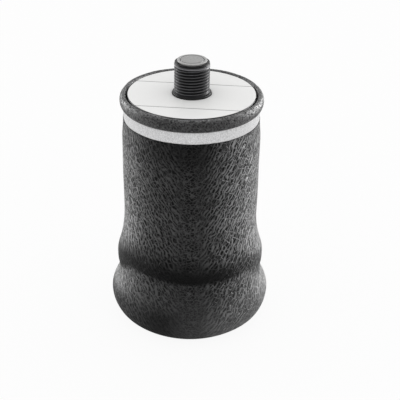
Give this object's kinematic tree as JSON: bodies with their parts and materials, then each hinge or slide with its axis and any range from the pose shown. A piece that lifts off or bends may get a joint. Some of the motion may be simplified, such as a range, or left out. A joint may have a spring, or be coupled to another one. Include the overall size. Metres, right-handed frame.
{
  "type": "air suspension spring",
  "caption": "Rolling-lobe air spring: leather-grained rubber sleeve crimped to an end cap with a threaded stud and air port, rolled over a ribbed piston that slides inside it.",
  "frame": {"origin": "centre of the piston's foot, on the surface that the spring stands on", "axes": "+Z along the spring's axis, from the piston's foot to the mounting stud"},
  "size_m": [0.0932, 0.0932, 0.1558],
  "materials": {
    "sleeve_rubber": "leather grain, satin",
    "crimp_aluminium": "matte, faint scratches",
    "cap_metal": "black coat, satin",
    "stud_metal": "black phosphate",
    "seal_rubber": "smooth",
    "plug_plastic": "moulded, matte",
    "label_film": "white printed film, bare",
    "piston_plastic": "glass-filled, moulded",
    "insert_brass": "turned",
    "bumper_rubber": "moulded",
    "screw_steel": "zinc plated"
  },
  "bodies": {
    "piston": {"piston": "piston_plastic", "piston_insert": "insert_brass", "lower_crimp_ring": "crimp_aluminium", "sleeve_bottom_cuff": "sleeve_rubber", "bumper": "bumper_rubber", "bumper_washer": "screw_steel", "bumper_screw": "screw_steel", "bumper_insert": "insert_brass"},
    "lobe": {"rolling_lobe": "sleeve_rubber", "sleeve_inner_wall": "sleeve_rubber"},
    "upper": {"end_cap": "cap_metal", "mounting_stud": "stud_metal", "stud_seal_ring": "seal_rubber", "label_disc": "label_film", "upper_crimp_ring": "crimp_aluminium", "sleeve_top_cuff": "sleeve_rubber", "sleeve_upper_wall": "sleeve_rubber", "sleeve_lower_wall": "sleeve_rubber"},
    "plug": {"port_plug": "plug_plastic"}
  },
  "joints": [
    {"name": "stroke", "type": "slide", "parent": "piston", "child": "upper", "axis": [0, 0, 1], "range_m": [0, 0.08], "deforming": ["sleeve_lower_wall"]},
    {"name": "lobe_roll", "type": "slide", "parent": "piston", "child": "lobe", "axis": [0, 0, 1], "range_m": [0, 0.04], "deforming": ["sleeve_inner_wall"]},
    {"name": "plug_pull", "type": "slide", "parent": "upper", "child": "plug", "axis": [0, 0, 1], "range_m": [0, 0.03]}
  ],
  "couplings": [
    {"joint": "lobe_roll", "follows": "stroke", "ratio": 0.5}
  ]
}
